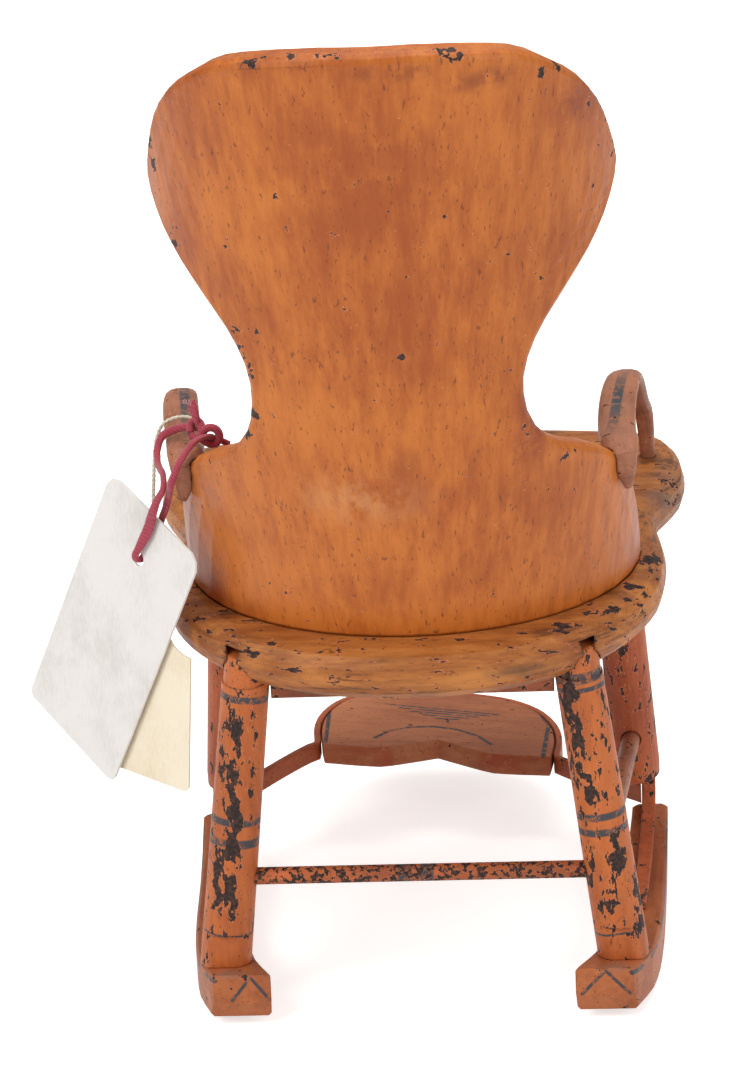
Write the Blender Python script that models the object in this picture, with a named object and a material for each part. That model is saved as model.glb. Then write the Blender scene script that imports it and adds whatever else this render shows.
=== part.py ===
"""A miniature wooden rocking chair with a bent back, hooped arms and a footrest.

The chair faces +Y, +X is on the right of somebody behind it, and +Z is up. Sizes are in metres.
Two tags hang from the left arm on a cotton tape and a string.
"""
import math

import bpy
from mathutils import Matrix, Vector

MM = 0.001
GAP = 0.3 * MM                      # clearance between neighbouring pieces

# Seat: a thick plank with a rounded rim, tilted back
SEAT_TILT = math.radians(6)
SEAT_HEIGHT = 125.2 * MM            # top of the seat over the middle of the rockers
SEAT_THICKNESS = 15.0 * MM
SEAT_BACK_REACH = 67.4 * MM         # from the middle to the rear rim
SEAT_FRONT_REACH = 103.0 * MM       # from the middle to the front rim
SEAT_REAR_HALF = 75.8 * MM          # half width of the rear lobe
SEAT_WAIST_HALF = 73.8 * MM
SEAT_FRONT_HALF = 84.0 * MM
GROOVE_DEPTH = 1.5 * MM             # the back stands this deep in the seat

# Back: one board bent round the rear of the seat
BACK_RECLINE = math.radians(14)     # from the vertical
BACK_RACK = math.radians(0.7)       # the back has warped a little to the left
BACK_HEIGHT = 182.5 * MM
BACK_THICKNESS = 9.0 * MM
BACK_SIDE_INSET = 7.5 * MM          # from the seat's side rim to the board's outer face
BACK_REAR_INSET = 15.0 * MM         # from the seat's rear rim to the board's outer face
BACK_CENTRE = 2.5 * MM              # where the bend's ends lie, forward of the middle
BACK_EDGE = 2.2 * MM                # rounding of the board's edges
BACK_WAIST_OFFSET = 1.6 * MM        # the waist was sawn this far to the left of the middle

# Rockers
ROCKER_RADIUS = 500.0 * MM
ROCKER_CONTACT = -0.5 * MM          # where the rockers touch the floor
ROCKER_TIP_LIFT = 8.3 * MM          # extra rise of the front tip over the arc
ROCKER_REAR = -63.0 * MM
ROCKER_FRONT = 57.0 * MM
ROCKER_REAR_DEPTH = 13.6 * MM
ROCKER_FRONT_DEPTH = 10.4 * MM
ROCKER_REAR_WIDTH = 18.2 * MM
ROCKER_FRONT_WIDTH = 11.4 * MM
ROCKER_STEP = 7.0 * MM              # length of each straight step of the underside

# Legs
LEG_RADIUS_TOP = 7.0 * MM
LEG_RADIUS_FOOT = 7.7 * MM
REAR_LEG_TOP = (48.6 * MM, -44.5 * MM)      # where its axis meets the seat's underside
REAR_LEG_FOOT_Y = -49.5 * MM
FRONT_LEG_TOP = (60.5 * MM, 40.0 * MM)
FRONT_LEG_FOOT = (66.3 * MM, 50.0 * MM)
FRONT_LEG_LIFT = 11.6 * MM                  # from the rocker's top to the leg's shoulder
LEG_TENON_RADIUS = 6.6 * MM
LEG_TENON_LENGTH = 9.0 * MM
SOCKET_SLACK = 1.8 * MM                     # a socket is deeper than its tenon by this
FOOT_TENON_RADIUS = 3.6 * MM
FOOT_TENON_LENGTH = 6.0 * MM
FOOT_FLAT_HEIGHT = 10.5 * MM                # flat panel cut on the back of each rear foot
FOOT_FLAT_DEPTH = 1.3 * MM
TAIL_WIDTH = 4.4 * MM                       # the front leg's flat tail, laid along the rocker
TAIL_THICKNESS = 2.4 * MM
TAIL_REAR = -12.0 * MM

# Stretchers
REAR_STRETCHER_RADIUS = 2.6 * MM
REAR_STRETCHER_HEIGHT = 43.0 * MM
SIDE_STRETCHER_RADIUS = 2.9 * MM
SIDE_STRETCHER_FRONT_HEIGHT = 47.0 * MM
SIDE_STRETCHER_REAR_HEIGHT = 51.0 * MM
STRETCHER_SOCKET = 4.0 * MM

# Arms
ARM_WIDTH = 11.4 * MM
ARM_THICKNESS = 5.0 * MM
ARM_RISE = 49.0 * MM                # top of the hoop over the seat
ARM_SPLAY = {1: 0.0, -1: 5.5 * MM}  # how far each hoop leans out, right and left
ARM_DROP = {1: 0.0, -1: 1.5 * MM}   # how much lower each hoop's top is
ARM_TENON = 6.0 * MM                # depth of the front end in the seat

# Cleat under the seat
CLEAT_WIDTH = 8.0 * MM
CLEAT_DEPTH = 6.3 * MM
CLEAT_Y = -43.5 * MM
CLEAT_NAIL_RADIUS = 1.1 * MM

# Footrest
REST_HALF = 38.0 * MM
REST_REAR = 80.0 * MM
REST_LENGTH = 52.0 * MM
REST_THICKNESS = 7.0 * MM
REST_HEIGHT = 25.2 * MM             # middle of its thickness
REST_NOTCH = 9.5 * MM
REST_ROLL = math.radians(5.0)       # the footrest sits out of level
HOOP_THICKNESS = 2.2 * MM
HOOP_HEIGHT = 6.4 * MM

# Tags, each hung by its hole beside the seat's left rim
TAG_TURN = math.radians(-42)        # their planes follow the rim
TAG_LEAN = math.radians(-6)
CARD_TAG_HOLE = Vector((-79.9, -26.0, 136.8)) * MM
CARD_TAG_WIDTH = 43.9 * MM
CARD_TAG_LENGTH = 86.4 * MM
CARD_TAG_HOLE_IN = 16.0 * MM        # from the top edge to the hole
CARD_TAG_SPIN = math.radians(-26)
CARD_THICKNESS = 0.7 * MM
CARD_HOLE_RADIUS = 2.2 * MM
SMALL_TAG_WIDTH = 37.0 * MM
SMALL_TAG_LENGTH = 62.0 * MM
SMALL_TAG_HOLE_IN = 6.0 * MM
SMALL_TAG_SPIN = math.radians(0)
SMALL_TAG_THICKNESS = 0.5 * MM
SMALL_TAG_BEHIND = 2.0 * MM         # between the two tags' middles
SMALL_TAG_HOLE = (2.5 * MM, -12.0 * MM)
SMALL_HOLE_RADIUS = 1.7 * MM
TAPE_RADIUS = 1.1 * MM
STRING_RADIUS = 0.6 * MM

# Nails
NAIL_RADIUS = 0.8 * MM
NAIL_HEAD_RADIUS = 1.3 * MM
NAIL_HEAD = 0.6 * MM


# ---------------------------------------------------------------- small helpers

def clear_scene():
    for thing in list(bpy.data.objects):
        bpy.data.objects.remove(thing)


def paint(name, colour, roughness):
    """A plain material in the part's own colour."""
    material = bpy.data.materials.get(name) or bpy.data.materials.new(name)
    material.use_nodes = True
    shader = material.node_tree.nodes["Principled BSDF"]
    shader.inputs["Base Color"].default_value = (*colour, 1)
    shader.inputs["Roughness"].default_value = roughness
    return material


PAINT = {
    "board": ((0.56, 0.22, 0.07), 0.45),
    "plank": ((0.50, 0.20, 0.06), 0.5),
    "leg": ((0.58, 0.19, 0.07), 0.5),
    "rail": ((0.40, 0.14, 0.07), 0.55),
    "rocker": ((0.42, 0.17, 0.09), 0.55),
    "arm": ((0.38, 0.16, 0.10), 0.55),
    "iron": ((0.05, 0.045, 0.04), 0.5),
    "card": ((0.78, 0.75, 0.70), 0.8),
    "manila": ((0.87, 0.74, 0.52), 0.8),
    "tape": ((0.42, 0.05, 0.08), 0.85),
    "string": ((0.78, 0.72, 0.60), 0.9),
}


def new_object(name, vertices, faces, finish, smooth_angle=40):
    """Make a mesh object from points and faces, shaded smooth."""
    mesh = bpy.data.meshes.new(name)
    mesh.from_pydata([tuple(v) for v in vertices], [], faces)
    mesh.validate()
    mesh.shade_smooth()
    mesh.set_sharp_from_angle(angle=math.radians(smooth_angle))
    mesh.materials.append(paint(finish, *PAINT[finish]))
    thing = bpy.data.objects.new(name, mesh)
    bpy.context.collection.objects.link(thing)
    return thing


def hide_cutter(cutter):
    cutter.hide_render = True
    cutter.display_type = "WIRE"


def boolean(target, other, operation):
    modifier = target.modifiers.new(f"{operation.lower()} {other.name}", "BOOLEAN")
    modifier.operation = operation
    modifier.object = other
    modifier.solver = "EXACT"
    hide_cutter(other)


def smooth_curve(points, count):
    """Read `count` points, evenly spaced, from a smooth curve through the given ones."""
    points = [Vector(p) for p in points]
    ends = [2 * points[0] - points[1], *points, 2 * points[-1] - points[-2]]
    fine = []
    for a, b, c, d in zip(ends, ends[1:], ends[2:], ends[3:]):
        for step in range(16):
            t = step / 16
            fine.append(0.5 * (2 * b + (c - a) * t + (2 * a - 5 * b + 4 * c - d) * t ** 2
                               + (3 * b - a - 3 * c + d) * t ** 3))
    fine.append(points[-1])
    lengths = [0.0]
    for a, b in zip(fine, fine[1:]):
        lengths.append(lengths[-1] + (b - a).length)
    result, k = [], 0
    for i in range(count):
        goal = lengths[-1] * i / (count - 1)
        while k < len(fine) - 2 and lengths[k + 1] < goal:
            k += 1
        span = lengths[k + 1] - lengths[k]
        result.append(fine[k].lerp(fine[k + 1], min(1.0, (goal - lengths[k]) / span)))
    return result


def loft(name, rings, finish, smooth_angle=40):
    """Skin a row of closed rings that have the same number of points, and cap both ends."""
    sides = len(rings[0])
    vertices = [point for ring in rings for point in ring]
    faces = [list(range(sides))[::-1]]
    for i in range(len(rings) - 1):
        for j in range(sides):
            k = (j + 1) % sides
            faces.append([i * sides + j, i * sides + k, (i + 1) * sides + k, (i + 1) * sides + j])
    last = (len(rings) - 1) * sides
    faces.append([last + j for j in range(sides)])
    return new_object(name, vertices, faces, finish, smooth_angle)


def section_ring(centre, across, up, half_width, half_height, rounding, steps=3):
    """A rectangle with rounded corners, standing on two axes."""
    ring = []
    rounding = min(rounding, half_width * 0.999, half_height * 0.999)
    for quarter, (sx, sy) in enumerate(((1, 1), (-1, 1), (-1, -1), (1, -1))):
        for step in range(steps):
            turn = math.pi / 2 * (quarter + step / max(1, steps - 1))
            x = sx * (half_width - rounding) + rounding * math.cos(turn)
            y = sy * (half_height - rounding) + rounding * math.sin(turn)
            ring.append(centre + across * x + up * y)
    return ring


def rod(name, start, end, radius, finish, sides=16):
    """A plain round rod between two points."""
    axis = (end - start).normalized()
    across = axis.orthogonal().normalized()
    up = axis.cross(across)
    rings = []
    for centre in (start, end):
        rings.append([centre + radius * (across * math.cos(2 * math.pi * j / sides)
                                         + up * math.sin(2 * math.pi * j / sides))
                      for j in range(sides)])
    return loft(name, rings, finish)


def slab(name, half_outline, columns, place, thickness, rim, finish):
    """A plate cut to a symmetrical outline, with its edge shaped by `rim`.

    half_outline runs from one end to the other as (half width, station). rim lists the edge's
    section from the top face to the bottom face as (how far out, how deep). place(u, v, depth)
    puts the flat plate in space.
    """
    rows = len(half_outline)
    grid = [[Vector((w * (2 * c / columns - 1), v)) for c in range(columns + 1)]
            for w, v in half_outline]
    loop = [(0, c) for c in range(columns + 1)]
    loop += [(r, columns) for r in range(1, rows - 1)]
    loop += [(rows - 1, c) for c in reversed(range(columns + 1))]
    loop += [(r, 0) for r in reversed(range(1, rows - 1))]
    outer = [grid[r][c].copy() for r, c in loop]
    outward = []
    for i, point in enumerate(outer):
        along = outer[(i + 1) % len(outer)] - outer[i - 1]
        outward.append(Vector((along.y, -along.x)).normalized())
    reach = max(out for out, deep in rim)
    for (r, c), point, away in zip(loop, outer, outward):
        grid[r][c] = point - away * reach
    for r in range(1, rows - 1):
        left, right = grid[r][0], grid[r][columns]
        for c in range(1, columns):
            grid[r][c] = left.lerp(right, c / columns)
    vertices, faces = [], []
    for depth in (0.0, thickness):
        for row in grid:
            vertices += [place(p.x, p.y, depth) for p in row]
    wide = columns + 1
    under = rows * wide
    for r in range(rows - 1):
        for c in range(columns):
            a, b = r * wide + c, (r + 1) * wide + c
            faces.append([a, a + 1, b + 1, b])
            faces.append([under + a, under + b, under + b + 1, under + a + 1])
    rings = [[r * wide + c for r, c in loop]]
    for out, deep in rim:
        if (out, deep) in ((0.0, 0.0), (0.0, thickness)):
            continue
        first = len(vertices)
        for point, away in zip(outer, outward):
            p = point - away * (reach - out)
            vertices.append(place(p.x, p.y, deep))
        rings.append(list(range(first, first + len(loop))))
    rings.append([under + r * wide + c for r, c in loop])
    for upper, lower in zip(rings, rings[1:]):
        for i in range(len(loop)):
            k = (i + 1) % len(loop)
            faces.append([upper[i], lower[i], lower[k], upper[k]])
    return new_object(name, vertices, faces, finish)


# ---------------------------------------------------------------- the seat's plane

SEAT_ALONG = Vector((0, math.cos(SEAT_TILT), math.sin(SEAT_TILT)))
SEAT_NORMAL = Vector((0, -math.sin(SEAT_TILT), math.cos(SEAT_TILT)))
SEAT_ORIGIN = Vector((0, 0, SEAT_HEIGHT))


def seat_point(x, y, depth=0.0):
    """A point on the seat's top, or below it."""
    return SEAT_ORIGIN + Vector((x, 0, 0)) + SEAT_ALONG * y - SEAT_NORMAL * depth


def seat_outline():
    """Half of the seat's outline, from the rear rim to the front rim."""
    back, front = SEAT_BACK_REACH, SEAT_FRONT_REACH
    rear_lobe = [(math.radians(turn)) for turn in (5, 18, 32, 46, 60, 75, 90)]
    points = [(SEAT_REAR_HALF * math.sin(t) ** 0.92, -back * math.cos(t)) for t in rear_lobe]
    points += [
        (SEAT_REAR_HALF, 0.12 * front), (SEAT_WAIST_HALF + 0.6 * MM, 0.24 * front),
        (SEAT_WAIST_HALF, 0.33 * front), (SEAT_FRONT_HALF - 5.2 * MM, 0.44 * front),
        (SEAT_FRONT_HALF - 1.2 * MM, 0.54 * front), (SEAT_FRONT_HALF, 0.65 * front),
        (SEAT_FRONT_HALF - 0.8 * MM, 0.77 * front), (SEAT_FRONT_HALF - 4.2 * MM, 0.87 * front),
        (SEAT_FRONT_HALF - 11 * MM, 0.928 * front), (SEAT_FRONT_HALF - 22 * MM, 0.958 * front),
        (0.5 * SEAT_FRONT_HALF, 0.985 * front), (0.24 * SEAT_FRONT_HALF, front),
    ]
    return [(p.x, p.y) for p in smooth_curve([(x, y, 0) for x, y in points], 46)]


def rounded_rim(thickness, reach, steps=6):
    """A rim's section: an ellipse that bulges by `reach`."""
    half = thickness / 2
    return [(reach * math.sin(math.pi * i / steps), half - half * math.cos(math.pi * i / steps))
            for i in range(1, steps)]


def make_seat():
    rim = rounded_rim(SEAT_THICKNESS, SEAT_THICKNESS / 2)
    return slab("seat", seat_outline(), 6, seat_point, SEAT_THICKNESS, rim, "plank")


# ---------------------------------------------------------------- the bent back

BEND_HALF = SEAT_REAR_HALF - BACK_SIDE_INSET
BEND_DEPTH = SEAT_BACK_REACH - BACK_REAR_INSET + BACK_CENTRE
LEAN = BACK_RECLINE - SEAT_TILT
BACK_RISE = (SEAT_NORMAL * math.cos(LEAN) - SEAT_ALONG * math.sin(LEAN)
             - Vector((math.tan(BACK_RACK), 0, 0)))
BEND_STEPS = 240


def bend_lengths():
    """Distance round the bend for each small step of its angle, up to a quarter turn."""
    lengths = [0.0]
    for i in range(BEND_STEPS):
        t = (i + 0.5) / BEND_STEPS * math.pi / 2
        pace = math.hypot(BEND_HALF * math.cos(t), BEND_DEPTH * math.sin(t))
        lengths.append(lengths[-1] + pace * math.pi / 2 / BEND_STEPS)
    return lengths


BEND_LENGTHS = bend_lengths()


def bend_angle(distance):
    """The bend's angle at a distance round it from the middle of the back."""
    size = abs(distance)
    if size >= BEND_LENGTHS[-1]:
        turn = math.pi / 2 + (size - BEND_LENGTHS[-1]) / BEND_DEPTH
        return math.copysign(turn, distance)
    k = next(i for i in range(BEND_STEPS) if BEND_LENGTHS[i + 1] >= size)
    share = (size - BEND_LENGTHS[k]) / (BEND_LENGTHS[k + 1] - BEND_LENGTHS[k])
    return math.copysign((k + share) / BEND_STEPS * math.pi / 2, distance)


def back_frame(turn, height):
    """A point on the back's outer face and the outward direction there."""
    base = seat_point(BEND_HALF * math.sin(turn), BACK_CENTRE - BEND_DEPTH * math.cos(turn))
    along = Vector((BEND_HALF * math.cos(turn), 0, 0)) + SEAT_ALONG * BEND_DEPTH * math.sin(turn)
    return base + BACK_RISE * height, along.cross(BACK_RISE).normalized()


def back_place(distance, height, depth):
    """Put a point of the flat board on the bent one, `depth` inside its outer face."""
    share = (height / BACK_HEIGHT - 0.38) / 0.16
    distance -= BACK_WAIST_OFFSET * math.exp(-share * share)
    point, outward = back_frame(bend_angle(distance), height)
    return point - outward * depth


def bend_distance(share):
    """Distance round the bend where the board is this share of its widest half."""
    position = math.asin(min(1.0, share)) / (math.pi / 2) * BEND_STEPS
    k = min(BEND_STEPS - 1, int(position))
    return BEND_LENGTHS[k] + (position - k) * (BEND_LENGTHS[k + 1] - BEND_LENGTHS[k])


# The back's half outline as (share of the bend's half width, share of the height above the seat)
BACK_SHAPE = [
    (0.998, 0.060), (0.990, 0.130), (0.968, 0.192), (0.925, 0.242), (0.860, 0.275),
    (0.765, 0.298), (0.685, 0.316), (0.625, 0.343), (0.585, 0.380), (0.572, 0.425),
    (0.586, 0.470), (0.648, 0.525), (0.758, 0.585), (0.856, 0.637), (0.926, 0.690),
    (0.961, 0.750), (0.940, 0.810), (0.897, 0.868), (0.822, 0.918), (0.716, 0.954),
    (0.600, 0.979), (0.400, 0.993), (0.190, 0.999),
]


def back_outline(foot=-GROOVE_DEPTH):
    """Half of the flat board's outline, from its foot in the groove to its top."""
    points = [(bend_distance(1.0), foot, 0)]
    points += [(bend_distance(share), height * BACK_HEIGHT, 0) for share, height in BACK_SHAPE]
    return [(p.x, p.y) for p in smooth_curve(points, 46)]


def board_rim(thickness, reach):
    return [(0.6 * reach, 0.08 * thickness), (reach, 0.26 * thickness), (reach, 0.74 * thickness),
            (0.6 * reach, 0.92 * thickness)]


def make_back():
    rim = board_rim(BACK_THICKNESS, BACK_EDGE)
    return slab("back_board", back_outline(), 22, back_place, BACK_THICKNESS, rim, "board")


def make_back_cutter():
    """The back's shape with clearance all round, to cut what meets it."""
    def place(distance, height, depth):
        return back_place(distance, height, depth - GAP)

    def grow(points):
        grown = []
        for i, (x, y) in enumerate(points):
            before = points[max(0, i - 1)]
            after = points[min(len(points) - 1, i + 1)]
            away = Vector((after[1] - before[1], before[0] - after[0])).normalized()
            grown.append((x + away.x * GAP, y + away.y * GAP))
        grown[0] = (grown[0][0], points[0][1] - GAP)
        return grown

    thickness = BACK_THICKNESS + 2 * GAP
    rim = board_rim(thickness, BACK_EDGE)
    return slab("back clearance", grow(back_outline()), 22, place, thickness, rim, "board")


# ---------------------------------------------------------------- rockers

# The rocker's outer edge as (Y, X), bowed in plan
ROCKER_EDGE = [(-63, 61.8), (-52, 67.2), (-35, 70.6), (-10, 72.8), (20, 74.4), (57, 76.2)]


def read_between(table, x):
    """Read a value from a short table of (x, value) pairs, in straight steps."""
    if x <= table[0][0]:
        return table[0][1]
    for (x0, y0), (x1, y1) in zip(table, table[1:]):
        if x <= x1:
            return y0 + (y1 - y0) * (x - x0) / (x1 - x0)
    return table[-1][1]


def rocker_share(y):
    return (y - ROCKER_REAR) / (ROCKER_FRONT - ROCKER_REAR)


def rocker_depth(y):
    return ROCKER_REAR_DEPTH + (ROCKER_FRONT_DEPTH - ROCKER_REAR_DEPTH) * rocker_share(y)


def rocker_width(y):
    return ROCKER_REAR_WIDTH + (ROCKER_FRONT_WIDTH - ROCKER_REAR_WIDTH) * rocker_share(y)


def rocker_outer(y):
    reach = (ROCKER_FRONT - ROCKER_REAR) / (120 * MM)
    table = [(ROCKER_REAR + (ey + 63) * MM * reach, ex * MM) for ey, ex in ROCKER_EDGE]
    smooth = [read_between(table, y + shift * MM) for shift in (-6, 0, 6)]
    return sum(smooth) / 3


def rocker_middle(y):
    return rocker_outer(y) - rocker_width(y) / 2


def rocker_rise(y):
    """Height of the underside over the floor."""
    run = y - ROCKER_CONTACT
    tip = max(0.0, run / (ROCKER_FRONT - ROCKER_CONTACT))
    return run * run / (2 * ROCKER_RADIUS) + ROCKER_TIP_LIFT * tip ** 3


def rocker_slope(y):
    return math.atan2(rocker_rise(y + 0.5 * MM) - rocker_rise(y - 0.5 * MM), 1.0 * MM)


def rocker_point(y, height, aside=0.0):
    """A point over the rocker's underside, on the right-hand rocker."""
    slope = rocker_slope(y)
    normal = Vector((0, -math.sin(slope), math.cos(slope)))
    base = Vector((rocker_middle(y) + aside, y, rocker_rise(y)))
    return base + normal * height


def mirrored(points, side):
    return [Vector((side * p.x, p.y, p.z)) for p in points]


def rocker_stations():
    stations = [ROCKER_REAR]
    k = -40
    while k < 40:
        y = ROCKER_CONTACT + (k + 0.5) * ROCKER_STEP
        if ROCKER_REAR + 4 * MM < y < ROCKER_FRONT - 4 * MM:
            stations.append(y)
        k += 1
    return [*stations, ROCKER_FRONT]


def make_rocker(name, side):
    rings = []
    stations = rocker_stations()
    plan = [(stations[0], 0.62, 0.94), (stations[0] + 2.4 * MM, 1.0, 1.0)]
    plan += [(y, 1.0, 1.0) for y in stations[1:-1]]
    plan += [(stations[-1] - 1.6 * MM, 1.0, 1.0), (stations[-1], 0.78, 0.8)]
    for y, height_share, width_share in plan:
        depth, half = rocker_depth(y), rocker_width(y) / 2 * width_share
        floor = depth * (1 - height_share) * (1 if y < 0 else 0.5)
        top = depth if y < 0 else depth * (1 + height_share) / 2
        edge = 0.9 * MM
        corners = [(-half, floor + edge), (-half + edge, floor), (half - edge, floor),
                   (half, floor + edge), (half, top - edge), (half - edge, top),
                   (-half + edge, top), (-half, top - edge)]
        rings.append([rocker_point(y, high, aside) for aside, high in corners])
    rings = [mirrored(ring, side) for ring in rings]
    if side < 0:
        rings = [ring[::-1] for ring in rings]
    return loft(name, [ring[::-1] for ring in rings], "rocker", 30)


# ---------------------------------------------------------------- legs

def plane_hit(point, direction, origin, normal):
    """Where a line meets a plane."""
    return point + direction * ((origin - point).dot(normal) / direction.dot(normal))


def leg_ring(axis_start, axis, radius, origin, normal, sides, flat=0.0):
    """A ring round a leg's axis, cut off by a plane."""
    across = Vector((1, 0, 0))
    across = (across - axis * across.dot(axis)).normalized()
    back = across.cross(axis)
    ring = []
    for j in range(sides):
        turn = 2 * math.pi * j / sides
        x, y = radius * math.cos(turn), max(radius * math.sin(turn), flat - radius)
        foot = axis_start + across * x - back * y
        ring.append(plane_hit(foot, axis, origin, normal))
    return ring


def blend_rings(low, high, share):
    return [a.lerp(b, share) for a, b in zip(low, high)]


def seat_underside():
    return seat_point(0, 0, SEAT_THICKNESS + GAP), SEAT_NORMAL


def tenon_socket(name, start, axis, radius, length):
    """A cutter for a round hole that runs `length` along the axis from a point."""
    return rod(name, start - axis * 3 * MM, start + axis * length, radius + GAP, "iron", 20)


def make_rear_leg(name, side):
    sides = 24
    under, under_normal = seat_underside()
    foot_x = rocker_middle(REAR_LEG_FOOT_Y) + 1.0 * MM
    foot = rocker_point(REAR_LEG_FOOT_Y, rocker_depth(REAR_LEG_FOOT_Y) + GAP)
    foot = Vector((foot_x, foot.y, foot.z))
    top = Vector((REAR_LEG_TOP[0], REAR_LEG_TOP[1], 0))
    top = plane_hit(top, Vector((0, 0, 1)), under, under_normal)
    axis = (top - foot).normalized()
    slope = rocker_slope(REAR_LEG_FOOT_Y)
    floor_normal = Vector((0, -math.sin(slope), math.cos(slope)))
    height = (top - foot).length

    def ring(distance, radius, flat=0.0):
        low = leg_ring(foot, axis, radius, foot, floor_normal, sides, flat)
        high = leg_ring(foot, axis, radius, top, under_normal, sides, flat)
        return blend_rings(low, high, distance / height)

    def radius_at(distance):
        return LEG_RADIUS_FOOT + (LEG_RADIUS_TOP - LEG_RADIUS_FOOT) * distance / height

    rings = [
        [p - floor_normal * FOOT_TENON_LENGTH for p in ring(0, FOOT_TENON_RADIUS)],
        ring(0, FOOT_TENON_RADIUS),
        ring(0, radius_at(0), FOOT_FLAT_DEPTH),
        ring(FOOT_FLAT_HEIGHT, radius_at(FOOT_FLAT_HEIGHT), FOOT_FLAT_DEPTH),
        ring(FOOT_FLAT_HEIGHT + 0.2 * MM, radius_at(FOOT_FLAT_HEIGHT)),
    ]
    rings += [ring(height * share, radius_at(height * share)) for share in (0.3, 0.5, 0.7, 0.85)]
    rings += [ring(height, LEG_RADIUS_TOP), ring(height, LEG_TENON_RADIUS),
              [p + axis * LEG_TENON_LENGTH for p in ring(height, LEG_TENON_RADIUS)]]
    rings = [mirrored(r, side) for r in rings]
    if side < 0:
        rings = [r[::-1] for r in rings]
    leg = loft(name, rings, "leg", 35)
    line = (Vector((side * foot.x, foot.y, foot.z)), Vector((side * top.x, top.y, top.z)))
    return leg, line


def leg_axis_at(line, height):
    """The point of a leg's axis at a height over the floor."""
    low, high = line
    return low.lerp(high, (height - low.z) / (high.z - low.z))


def rocker_top(y):
    """The point of the rocker's top face at this Y, and the face's upward direction."""
    base = y
    for _ in range(8):
        base = y + rocker_depth(base) * math.sin(rocker_slope(base))
    slope = rocker_slope(base)
    up = Vector((0, -math.sin(slope), math.cos(slope)))
    top = rocker_point(base, rocker_depth(base))
    return Vector((rocker_middle(y), y, top.z)), up


def tail_path():
    """Middle of the right leg's tail, from inside the leg's foot to its rear end."""
    start = FRONT_LEG_FOOT[1]
    lift = FRONT_LEG_LIFT
    over = GAP + TAIL_THICKNESS / 2
    front, up = rocker_top(start)
    path = [front + Vector((0, 0, lift + 5 * MM)), front + Vector((0, 0, lift)),
            front + Vector((0, -0.3 * MM, 0.55 * lift))]
    bend, up = rocker_top(start - 2.6 * MM)
    path.append(bend + up * (over + 1.6 * MM))
    first = start - 7.0 * MM
    for step in range(6):
        point, up = rocker_top(first + (TAIL_REAR - first) * step / 5)
        path.append(point + up * over)
    return path


def make_front_leg(name, side):
    sides = 24
    under, under_normal = seat_underside()
    under_foot, _ = rocker_top(FRONT_LEG_FOOT[1])
    foot = Vector((FRONT_LEG_FOOT[0], FRONT_LEG_FOOT[1], under_foot.z + FRONT_LEG_LIFT))
    top = plane_hit(Vector((FRONT_LEG_TOP[0], FRONT_LEG_TOP[1], 0)), Vector((0, 0, 1)),
                    under, under_normal)
    axis = (top - foot).normalized()
    height = (top - foot).length

    def ring(distance, radius):
        low = leg_ring(foot, axis, radius, foot, axis, sides)
        high = leg_ring(foot, axis, radius, top, under_normal, sides)
        return blend_rings(low, high, distance / height)

    rings = [ring(0, LEG_RADIUS_FOOT - 1.2 * MM), ring(0.9 * MM, LEG_RADIUS_FOOT - 0.3 * MM),
             ring(height * 0.06, LEG_RADIUS_FOOT)]
    for share in (0.3, 0.6, 0.85):
        rings.append(ring(height * share, LEG_RADIUS_FOOT
                          + (LEG_RADIUS_TOP - LEG_RADIUS_FOOT) * share))
    rings += [ring(height, LEG_RADIUS_TOP), ring(height, LEG_TENON_RADIUS),
              [p + axis * LEG_TENON_LENGTH for p in ring(height, LEG_TENON_RADIUS)]]
    rings = [mirrored(r, side) for r in rings]
    if side < 0:
        rings = [r[::-1] for r in rings]
    leg = loft(name, rings, "leg", 35)
    boolean(leg, make_tail(f"{name} tail", side), "UNION")
    line = (Vector((side * foot.x, foot.y, foot.z)), Vector((side * top.x, top.y, top.z)))
    return leg, line


def make_tail(name, side):
    path = tail_path()
    across = Vector((1, 0, 0))
    rings = []
    for i, point in enumerate(path):
        along = (path[min(i + 1, len(path) - 1)] - path[max(i - 1, 0)]).normalized()
        sideways = (across - along * across.dot(along)).normalized()
        up = sideways.cross(along)
        ring = section_ring(point, sideways, up, TAIL_WIDTH / 2, TAIL_THICKNESS / 2, 0.3 * MM, 2)
        rings.append(ring)
    rings = [mirrored(r, side) for r in rings]
    if side < 0:
        rings = [r[::-1] for r in rings]
    return loft(name, [r[::-1] for r in rings], "leg", 30)


# ---------------------------------------------------------------- stretchers

def make_stretcher(name, line_a, height_a, line_b, height_b, radius, finish="rail"):
    """A rod between two legs, with both ends in blind sockets, and the sockets' cutter."""
    a, b = leg_axis_at(line_a, height_a), leg_axis_at(line_b, height_b)
    along = (b - a).normalized()
    inset = (LEG_RADIUS_TOP + LEG_RADIUS_FOOT) / 2 - STRETCHER_SOCKET
    thing = rod(name, a + along * (inset + GAP), b - along * (inset + GAP), radius, finish)
    cutter = rod(f"{name} sockets", a + along * inset, b - along * inset, radius + GAP, "iron")
    return thing, cutter


# ---------------------------------------------------------------- arms

def back_side_point(side, turn, height):
    """A point on the back's outer face at one side, folded over to the right."""
    point, _ = back_frame(side * turn, height)
    return Vector((side * point.x, point.y, point.z))


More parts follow.
